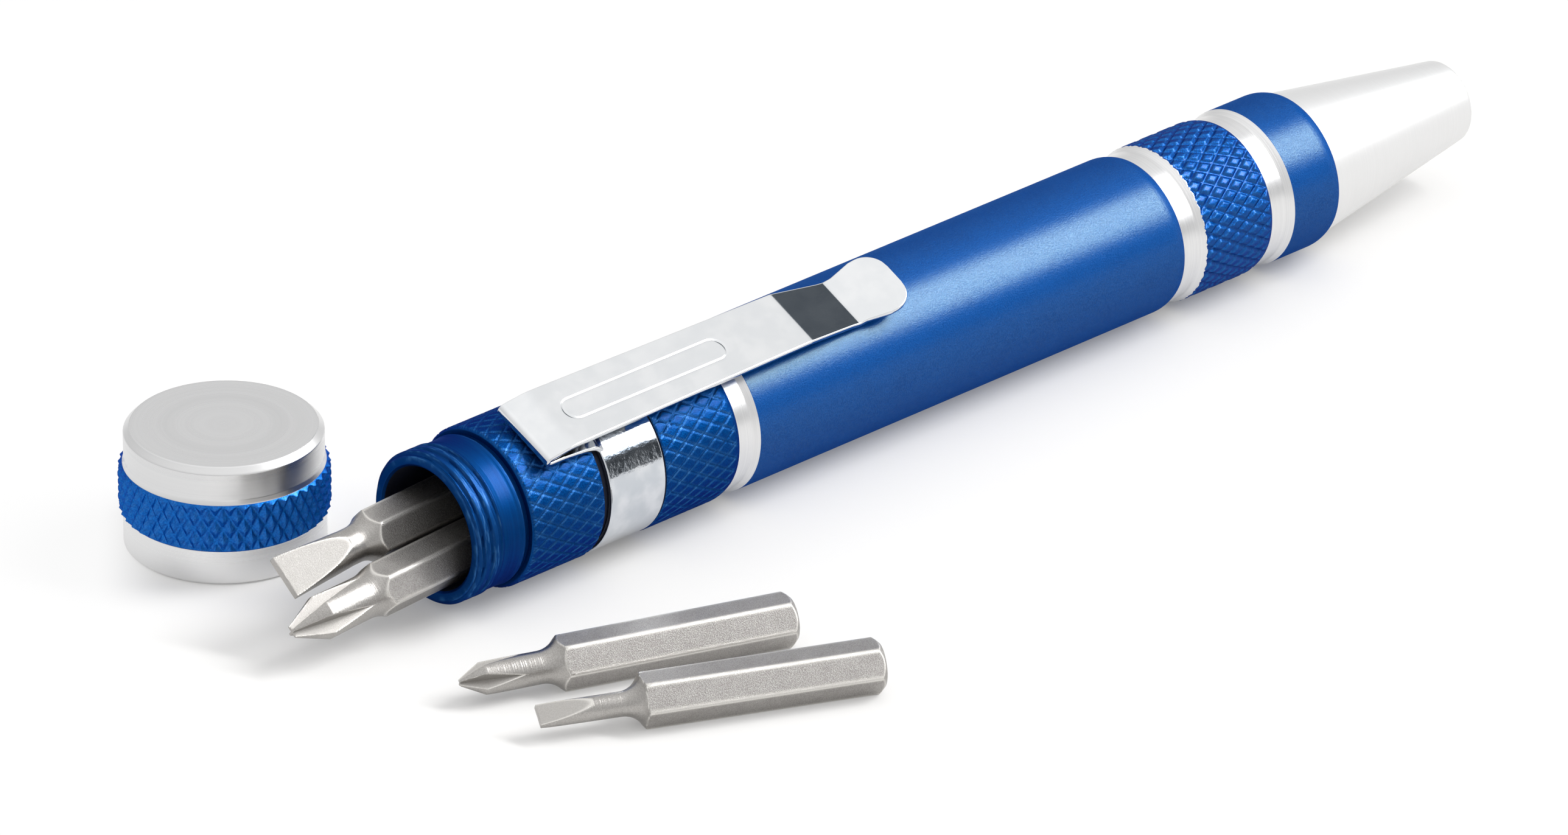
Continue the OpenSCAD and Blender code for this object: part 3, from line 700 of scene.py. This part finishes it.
def build_cap():
    """The cap's skin, from the middle of its top down the outside and up inside."""
    groove_r = CAP_BORE_R + 0.15
    knurl = Knurl(CAP_KNURL_COUNT, KNURL_PERIOD, CAP_R, depth=0.34, half=0.42)
    threads = [(z + dz, r, CAP_SIDE) for z in (1.0, 2.0, 3.0)
               for dz, r in ((0.25, CAP_BORE_R), (0.45, groove_r), (0.6, groove_r), (0.8, CAP_BORE_R))]
    outline = brace(soften([
        (CAP_H, 0.01, CAP_TOP), (CAP_H, CAP_CROWN_R - CAP_BEVEL, CAP_SIDE),
        (CAP_H - CAP_BEVEL, CAP_CROWN_R, CAP_SIDE), (CAP_LEDGE_TOP, CAP_CROWN_R, CAP_SIDE),
        (CAP_KNURL_TOP + 0.05, CAP_SKIRT_R, CAP_BLUE), (CAP_KNURL_TOP - 0.25, CAP_R, CAP_BLUE),
        (CAP_SKIRT_H + 0.25, CAP_R, CAP_BLUE), (CAP_SKIRT_H, CAP_SKIRT_R, CAP_SIDE),
        (0.2, CAP_SKIRT_R, CAP_SIDE), (0, CAP_SKIRT_R - 0.2, CAP_SIDE), (0, groove_r, CAP_SIDE),
        (0.15, CAP_BORE_R, CAP_SIDE)] + threads
        + [(CAP_DEPTH, CAP_BORE_R, CAP_SIDE), (CAP_DEPTH, 0.01, CAP_SIDE)], 0.06))
    rows = []
    for here, there in zip(outline, outline[1:]):
        middle = (here[0] + there[0]) / 2
        outside = min(here[1], there[1]) > CAP_SKIRT_R - 0.05
        knurled = outside and CAP_SKIRT_H - 0.1 < middle < CAP_KNURL_TOP + 0.1
        rows += fill([here, there], KNURL_STEP if knurled else PLAIN_STEP)[:-1]
    rows.append(outline[-1])
    angle = around(CAP_KNURL_COUNT * CAP_SAMPLES)
    height, radius, finish = (column(rows, i) for i in range(3))
    depth, near = knurl.groove(height, angle)
    zone = (radius > CAP_SKIRT_R - 0.05) & (height > CAP_SKIRT_H - 0.05) & (height < CAP_KNURL_TOP + 0.05)
    grown = np.where(zone, np.minimum(radius, CAP_R - depth), radius)
    edge = np.where(zone, near, 0)
    points = spun(height + FLOOR_Z, grown, angle)[:, [1, 2, 0]]
    points += np.array([CAP_CENTRE[0], CAP_CENTRE[1], 0])
    paint = np.broadcast_to(finish[:-1], (len(rows) - 1, angle.shape[1]))
    paint = list(paint.reshape(-1)) + [CAP_TOP, CAP_SIDE]
    finishes = [cap_silver("cap side silver", CAP_CENTRE, False),
                cap_silver("cap top silver", CAP_CENTRE, True),
                knurl_blue("cap knurl blue", 0.5, (0.06, 0.2, 0.52), 0.05, (0.002, 0.10, 0.42),
                           (0.01, 0.19, 0.64))]
    piece = make_piece("cap_shell", points, skin_faces(*grown.shape), finishes, paint,
                       {"edge": edge.reshape(-1)}, sharp=50)
    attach(piece, "cap")
    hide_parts("cap")


# The clip
CLIP_LEAN = radians(24.5)
SHEET_T = 0.45
BAND_FROM = 13.7
BAND_TO = 19.5
BAND_MID_R = SEAT_R + 0.05 + SHEET_T / 2
BAND_WRAP = radians(118)
BAND_STEPS = 181
STRIP_FROM = 15.2
STRIP_BEND_X = 14.1
LEAF_X = 13.2
LEAF_H = BARREL_R + 0.27
PLATE_H = BARREL_R + 1.4
TOUCH_H = BARREL_R + 0.25 + SHEET_T / 2
FOLD_X = 7.5
NOSE_SLOPE_X = FOLD_X + 2.6
FIRST_BEND_X = FOLD_X + 28.5
TOUCH_X = FIRST_BEND_X + 5.9
CLIP_END_X = TOUCH_X + 5.4
FOLD_R = SHEET_T / 2 + 0.1
TIP_RISE = 1.05
FOLD_HALF, BEND_HALF, WAIST_HALF, TIP_HALF = 3.2, 2.8, 2.46, 2.9
TIP_ROUND = 1.9
RIB_FROM, RIB_TO, RIB_HALF = FOLD_X + 4.2, FOLD_X + 21.2, 1.05
RIB_DEPTH = 0.028
RIB_SOFT = 0.085
EDGE_R = 0.1
EDGE_ARC = [radians(a) for a in (90, 67.5, 45, 22.5, 0)]
LANES = 97
PATH_STEP = 0.08


def clip_point(x, side, height):
    """A place on the clip: along the barrel, sideways towards the front, and out from the axis."""
    return np.stack([x + MOUTH_X, -side * cos(CLIP_LEAN) - height * sin(CLIP_LEAN),
                     -side * sin(CLIP_LEAN) + height * cos(CLIP_LEAN)], -1)


def round_path(points, radii, spacing):
    """An open line with its corners rounded to arcs, as (x, height) points at an even spacing."""
    line = [np.array(points[0], float)]
    for before, corner, after, radius in zip(points, points[1:], points[2:], radii):
        p, u, v = (np.array(q, float) for q in (corner, before, after))
        u, v = (u - p) / np.linalg.norm(u - p), (v - p) / np.linalg.norm(v - p)
        half = acos(np.clip(np.dot(u, v), -1, 1)) / 2
        centre = p + (u + v) / np.linalg.norm(u + v) * radius / sin(half)
        start, end = p + u * radius / tan(half) - centre, p + v * radius / tan(half) - centre
        sweep = pi - 2 * half
        for t in np.linspace(0, 1, max(4, int(sweep * radius / 0.05))):
            line.append(centre + (sin(sweep * (1 - t)) * start + sin(sweep * t) * end) / sin(sweep))
    line.append(np.array(points[-1], float))
    line = np.array(line)
    run = np.concatenate([[0], np.cumsum(np.linalg.norm(np.diff(line, axis=0), axis=1))])
    even = np.linspace(0, run[-1], int(run[-1] / spacing))
    return np.stack([np.interp(even, run, line[:, 0]), np.interp(even, run, line[:, 1])], -1)


def plate_half(x):
    """Half the plate's width along its length, with its rounded end."""
    widest_x = CLIP_END_X - TIP_ROUND * 1.3
    half = np.interp(x, [FOLD_X, FIRST_BEND_X, TOUCH_X - 0.8, TOUCH_X + 0.8, widest_x, CLIP_END_X],
                     [FOLD_HALF, BEND_HALF, WAIST_HALF, WAIST_HALF, TIP_HALF, TIP_HALF])
    past = np.clip(x - (CLIP_END_X - TIP_ROUND), 0, TIP_ROUND)
    return half - TIP_ROUND + np.sqrt(TIP_ROUND ** 2 - past ** 2)


def rib_depth(x, side):
    """The pressed line round the long rib."""
    middle = np.clip(x, RIB_FROM + RIB_HALF, RIB_TO - RIB_HALF)
    gap = np.abs(np.hypot(x - middle, side) - RIB_HALF)
    return RIB_DEPTH * np.exp(-(gap / RIB_SOFT) ** 2)


def edge_arc(half, angles):
    """The sheet's rounded edge, as (side, height) points from its upper face to its middle."""
    return [(half - EDGE_R + EDGE_R * cos(a), SHEET_T / 2 - EDGE_R + EDGE_R * sin(a)) for a in angles]


def strip_section(half):
    """The sides and the heights of points round the strip's cross-section, from its upper face."""
    lanes = np.linspace(-1, 1, LANES) * (half - EDGE_R)
    edge = edge_arc(half, EDGE_ARC[1:])
    section = [(s, SHEET_T / 2) for s in lanes] + edge
    section += [(s, -t) for s, t in reversed(edge)] + [(s, -SHEET_T / 2) for s in lanes[::-1]]
    section += [(-s, -t) for s, t in edge] + [(-s, t) for s, t in reversed(edge)]
    return np.array(section).T


def strip_path():
    """The strip's middle line: along the leaf, round the fold, then along the plate to the tip."""
    fold_x = FOLD_X + SHEET_T / 2
    return round_path([(STRIP_FROM, BAND_MID_R), (STRIP_BEND_X, BAND_MID_R), (LEAF_X, LEAF_H),
                       (fold_x, LEAF_H), (fold_x, LEAF_H + 2 * FOLD_R), (NOSE_SLOPE_X, PLATE_H),
                       (FIRST_BEND_X, PLATE_H), (TOUCH_X, TOUCH_H), (CLIP_END_X, TOUCH_H + TIP_RISE)],
                      [0.8, 0.8, FOLD_R * 0.95, FOLD_R * 0.95, 5, 3, 1.2], PATH_STEP)


def build_clip_strip():
    """The clip's long strip, one sheet from inside the band, round the fold, to the tip."""
    path = strip_path()
    ahead = np.gradient(path, axis=0)
    ahead /= np.linalg.norm(ahead, axis=1)[:, None]
    out = np.stack([-ahead[:, 1], ahead[:, 0]], -1)
    on_plate = np.arange(len(path)) >= np.argmin(path[:, 0])
    halves = np.where(on_plate, plate_half(path[:, 0]), FOLD_HALF - 0.03)
    curls = np.where(on_plate, 0, np.interp(path[:, 0], [9.5, 12, STRIP_BEND_X], [0, 0.35, 1]))
    rows = []
    for centre, normal, half, curl, ribbed in zip(path, out, halves, curls, on_plate):
        side, rise = strip_section(half)
        if ribbed:
            upper = rise > SHEET_T / 2 - 1e-6
            rise = rise - np.where(upper, rib_depth(centre[0], side), 0)
        drop = curl * (BAND_MID_R - np.sqrt(np.maximum(BAND_MID_R ** 2 - side ** 2, 1)))
        rows.append(clip_point(centre[0] + normal[0] * rise, side, centre[1] + normal[1] * rise - drop))
    count = len(rows[0])
    faces = tube_faces(len(rows), count)
    faces += end_strip(0, count, LANES, True) + end_strip((len(rows) - 1) * count, count, LANES, False)
    finish = clip_chrome("clip chrome", 0.5, 0.0006, (0.755, 0.77, 0.785), CHROME)
    piece = make_piece("clip_strip", np.concatenate(rows), faces, [finish], sharp=60)
    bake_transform(piece)
    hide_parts("clip_arm")


def end_strip(first, count, across, turned):
    """Closes the strip's end with quads between its upper and lower lanes, and a fan at each side."""
    arcs = (count - 2 * across) // 4
    top = [first + j for j in range(across)]
    lower = [first + across + 2 * arcs + j for j in range(across)][::-1]
    right = [first + across + j for j in range(2 * arcs)]
    left = [first + 2 * across + 2 * arcs + j for j in range(2 * arcs)]
    quads = [(top[j], top[j + 1], lower[j + 1], lower[j]) for j in range(across - 1)]
    quads += [tuple([top[-1]] + right + [lower[-1]]), tuple([lower[0]] + left + [top[0]])]
    return quads if turned else flip(quads)


def build_clip_band():
    """The C-shaped band that wraps the barrel, with its edges broken."""
    half = (BAND_TO - BAND_FROM) / 2
    quarter = [(half - EDGE_R * 1.5, SHEET_T / 2)] + edge_arc(half, EDGE_ARC)
    section = quarter + [(s, -t) for s, t in reversed(quarter)]
    section += [(-s, -t) for s, t in quarter] + [(-s, t) for s, t in reversed(quarter)]
    side, height = np.array(section).T
    x = (BAND_TO + BAND_FROM) / 2 + side
    r = BAND_MID_R + height
    rows = [clip_point(x, r * sin(a), r * cos(a)) for a in np.linspace(-BAND_WRAP, BAND_WRAP, BAND_STEPS)]
    count = len(section)
    last = (BAND_STEPS - 1) * count
    faces = tube_faces(BAND_STEPS, count)
    faces += [tuple(range(count)), tuple(range(last + count - 1, last - 1, -1))]
    # Painted shade: the band's chrome is darker than the strip's, for the shadowed floor it mirrors.
    finish = clip_chrome("band chrome", 1.5, 0.03, (0.56, 0.59, 0.63), (0.70, 0.72, 0.75))
    piece = make_piece("clip_ring", np.concatenate(rows), flip(faces), [finish], sharp=60)
    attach(piece, "barrel")
    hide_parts("clip_band")


# The bits
BIT_AF = 4
BIT_L = 28
BIT_CORNER_R = 2.26
BIT_TIP_L = 9
SMALL_TIP_L = 8.5
BIT_CHAMFER = 0.45
FLARE_L = 1.8
BIT_ROUND = 240
BIT_FLATS = (30, 90, 150)
TIP_BREAK = 0.04
CORNER_SHINE = 0.06
SOFT = 70
OPEN_LEAST = 0.02
NO_CUT = 99


def soft_min(stack):
    """The least of several radii, rounded where two of them meet."""
    low = stack.min(0)
    return low - np.log(np.exp(-SOFT * (stack - low)).sum(0)) / SOFT


def bit_stations(end_l):
    """Stations along a bit: close together over the working end, then the plain stock and its chamfer."""
    tip = np.concatenate([[0.0, 0.03], np.arange(0.09, end_l + 0.8, 0.075)])
    back = BIT_L - BIT_CHAMFER
    return np.concatenate([tip, np.arange(11, back - 0.3, 1.5), np.linspace(back - 0.15, BIT_L, 9)])


def turned_bit(x, end_l, nose, neck_r):
    """A bit as the lathe leaves it: its tip, its neck, the flare up to the stock, and the end's chamfer."""
    flare_from = end_l - FLARE_L
    drop = BIT_CORNER_R - neck_r
    arc_r = (FLARE_L ** 2 + drop ** 2) / (2 * drop)
    into = np.clip(x - flare_from, 0, FLARE_L)
    stations, radii = zip(*nose, (flare_from, neck_r))
    turned = np.interp(x, stations, radii) + arc_r - np.sqrt(arc_r ** 2 - into ** 2)
    turned = np.where(x > end_l, BIT_CORNER_R, turned)
    return np.minimum(turned, BIT_CORNER_R - np.clip(x - (BIT_L - BIT_CHAMFER), 0, BIT_CHAMFER))


def build_bit(name, node, body, place, end_l, nose, neck_r, cut):
    """A bit as one skin round its axis. nose is its tip's outline, cut(x, angle) what is milled away."""
    x = bit_stations(end_l)[:, None]
    angle = around(BIT_ROUND)
    hexagon = [BIT_AF / 2 / np.maximum(np.abs(np.cos(angle - radians(a))), 0.2) for a in BIT_FLATS]
    turned = turned_bit(x, end_l, nose, neck_r)
    cuts = cut(x, angle)
    limits = np.sort(np.stack(np.broadcast_arrays(*hexagon, turned, *cuts)), 0)
    radius = soft_min(limits)
    radius[0] -= TIP_BREAK
    lowest = limits[0]
    # Nearness to a corner, which the finish paints pale as wear and as a painted highlight.
    edge = np.exp(-((limits[1] - lowest) / CORNER_SHINE) ** 2)
    lathe = (turned - 0.02 < lowest + 1e-9) & (x < end_l + 0.3)
    milled = np.min(cuts, axis=0) < lowest + 1e-6
    matrix = np.array(place)
    points = spun(x, radius, angle) @ matrix[:3, :3].T + matrix[:3, 3]
    spread = {"edge": edge.reshape(-1), "turned": lathe.astype(float).reshape(-1),
              "milled": milled.astype(float).reshape(-1),
              "along": np.broadcast_to(x, radius.shape).reshape(-1)}
    finish = bpy.data.materials.get("bit nickel") or bit_nickel()
    piece = make_piece(name, points, skin_faces(len(x), BIT_ROUND), [finish], attributes=spread, sharp=40)
    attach(piece, body)
    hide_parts(node)


def blade_cut(thickness, run, neck_r):
    """Two flats that leave a blade, its width 30 degrees off the flat below."""
    slope = (neck_r - thickness / 2) / run

    def cut(x, angle):
        away = np.maximum(np.abs(np.cos(angle - radians(120))), OPEN_LEAST)
        return [(thickness / 2 + x * slope) / away + np.clip(x - run, 0, BIT_L) * 3]
    return cut


def flute_cut(run, floor_r, neck_r):
    """Four V-shaped flutes that leave four wings."""
    slope = (neck_r - floor_r) / run

    def cut(x, angle):
        limits = []
        for direction in (75, 165, 255, 345):
            turn = (angle - radians(direction) + pi) % (2 * pi) - pi
            open_by = np.cos(turn) - np.abs(np.sin(turn))
            floor = (floor_r + x * slope) / np.maximum(open_by, OPEN_LEAST)
            limits.append(np.where(open_by > OPEN_LEAST, floor, NO_CUT))
        return limits
    return cut


STORED_R = 2.668
STORED_TILT = radians(3.2)
STORED_ROLL = radians(10)


def stored(out, direction):
    """The place of a bit in the bore: out of the mouth by out, drooping over the rim."""
    a = radians(direction)
    return (Matrix.Translation((MOUTH_X, STORED_R * cos(a), STORED_R * sin(a)))
            @ Matrix.Rotation(-STORED_TILT, 4, "Y") @ Matrix.Translation((-out, 0, 0))
            @ Matrix.Rotation(STORED_ROLL, 4, "X"))


def lying(past, front, yaw):
    """The place of a bit that lies on the floor on one of its flats."""
    return (Matrix.Translation((MOUTH_X - past, -front, FLOOR_Z + BIT_AF / 2))
            @ Matrix.Rotation(-radians(yaw), 4, "Z"))


def build_bits():
    """The four bits, each with its tip's outline as (station, radius) points."""
    build_bit("wide_slotted_bit", "bit_slotted_wide", "stored_slotted", stored(12.6, -4.4994), BIT_TIP_L,
              [(0, 1.85), (6.48, 1.5)], 1.5, blade_cut(0.6, 6.2, 1.5))
    build_bit("large_cross_bit", "bit_cross_large", "stored_cross", stored(15.2, -117.5006), BIT_TIP_L,
              [(0, 0.5), (3, 1.825), (6.48, 1.775)], 1.775, flute_cut(7, 0.15, 1.775))
    build_bit("small_cross_bit", "bit_cross_small", "loose_cross", lying(9.25, 14.25, 20.3), SMALL_TIP_L,
              [(0, 0.3), (1.9, 1.35), (6.12, 1.325)], 1.325, flute_cut(5, 0.09, 1.325))
    build_bit("small_slotted_bit", "bit_slotted_small", "loose_slotted", lying(8.45, 22.49, 25),
              SMALL_TIP_L, [(0, 0.975), (6.12, 1.0)], 1.0, blade_cut(0.45, 4.4, 1.0))


# Light and floor
LAMP_LEVEL = 2
STRIP_LEVEL = 26
SKY_LEVEL = 0.75
SKY_RISE = 0.37
GAP_DARKNESS = 0.95
FAR_GAP_DARKNESS = 0.88
FAR_GAP_AIM = (0.81, 0.19, 0.56)
FAR_GAP_ANGLE = radians(6.5)
FAR_GAP_EDGE_ANGLE = radians(10)
FLOOR_HALF = 4000
GLOW_SHARE = 0.2
GLOW_LEFT_OF_CAP = 0.7


def light_the_room():
    """A pale room with a broad lamp, a bright strip and two dark gaps, which bright metal shows."""
    world = bpy.data.worlds.new("room")
    bpy.context.scene.world = world
    fin = Finish("room", world)
    direction = fin.node("TexCoord", out=0)
    x, y, z = fin.axes(direction)
    # Where a direction meets a ceiling is (along, across), and aside is its place on the front wall.
    across, along = y / z, x / z
    aside = x / (y * -1)
    window = across.step(-0.12, -0.20) * across.step(-1.45, -1.05) * z.step(0.05, 0.1)
    lamp = window * along.step(0.50, 0.58) * along.step(2.4, 2.2)
    strip = across.step(0.04, -0.34) * across.step(-1.9, -0.75) * z.step(0.1, 0.2)
    strip = strip * x.step(0.53, 0.57) * x.step(0.68, 0.64)
    gap = aside.step(0.69, 0.74) * aside.step(0.96, 0.90) * y.step(0.1, 0.0) * z.step(0.46, 0.42)
    aim = tuple(Vector(FAR_GAP_AIM).normalized())
    nearness = fin.node("VectorMath", {"operation": "DOT_PRODUCT"}, out=1, _0=direction, _1=aim)
    far_gap = nearness.step(cos(FAR_GAP_EDGE_ANGLE), cos(FAR_GAP_ANGLE))
    sky = z.step(-0.02, 0.02) * (z * z * SKY_RISE) + SKY_LEVEL
    shade = (1 - GAP_DARKNESS * gap) * (1 - FAR_GAP_DARKNESS * far_gap)
    level = sky * shade + lamp * LAMP_LEVEL + strip * STRIP_LEVEL
    tint = fin.blend(gap.math("MAXIMUM", far_gap), (1.0, 1.0, 1.0), (0.72, 0.85, 1.0))
    back = fin.node("Background", Color=tint, Strength=level)
    fin.node("OutputWorld", Surface=back)


def lay_floor():
    """A white floor, which the camera and bright metal see brighter than it is lit, most left of the cap."""
    corners = [(x * FLOOR_HALF, y * FLOOR_HALF, FLOOR_Z) for x, y in ((-1, -1), (1, -1), (1, 1), (-1, 1))]
    fin = Finish("white floor")
    path = fin.tree.nodes.new("ShaderNodeLightPath")
    rays = [Shade(fin.tree, path.outputs[key])
            for key in ("Is Camera Ray", "Is Glossy Ray", "Is Transmission Ray")]
    seen = rays[0].math("MAXIMUM", rays[1]).math("MAXIMUM", rays[2])
    x, y = fin.axes(fin.place())[:2]
    left = (y - CAP_CENTRE[1]) * sin(VIEW_TURN) - (x - CAP_CENTRE[0]) * cos(VIEW_TURN)
    share = GLOW_SHARE + left.step(CAP_R - 5, CAP_R + 2) * GLOW_LEFT_OF_CAP
    paint = fin.node("BsdfDiffuse", Color=(0.722, 0.716, 0.708))
    glow = fin.node("Emission", Color=(1.0, 1.0, 1.0), Strength=1.0)
    material = fin.closed(fin.node("MixShader", _0=seen * share, _1=paint, _2=glow))
    floor = make_piece("floor", corners, [(0, 1, 2, 3)], [material])


def dress_socket():
    """The sleeve and the magnet keep their own shapes and take a finish."""
    for node, finish in (("hex_sleeve", dark_steel()), ("socket_magnet", magnet_plating())):
        mesh = nodes[node].data
        mesh.materials.clear()
        mesh.materials.append(finish)


bpy.context.scene.view_settings.view_transform = "Standard"
add_camera()
light_the_room()
lay_floor()
dress_socket()
build_barrel()
build_nose()
build_clip_strip()
build_clip_band()
build_cap()
build_bits()

bpy.context.view_layer.update()
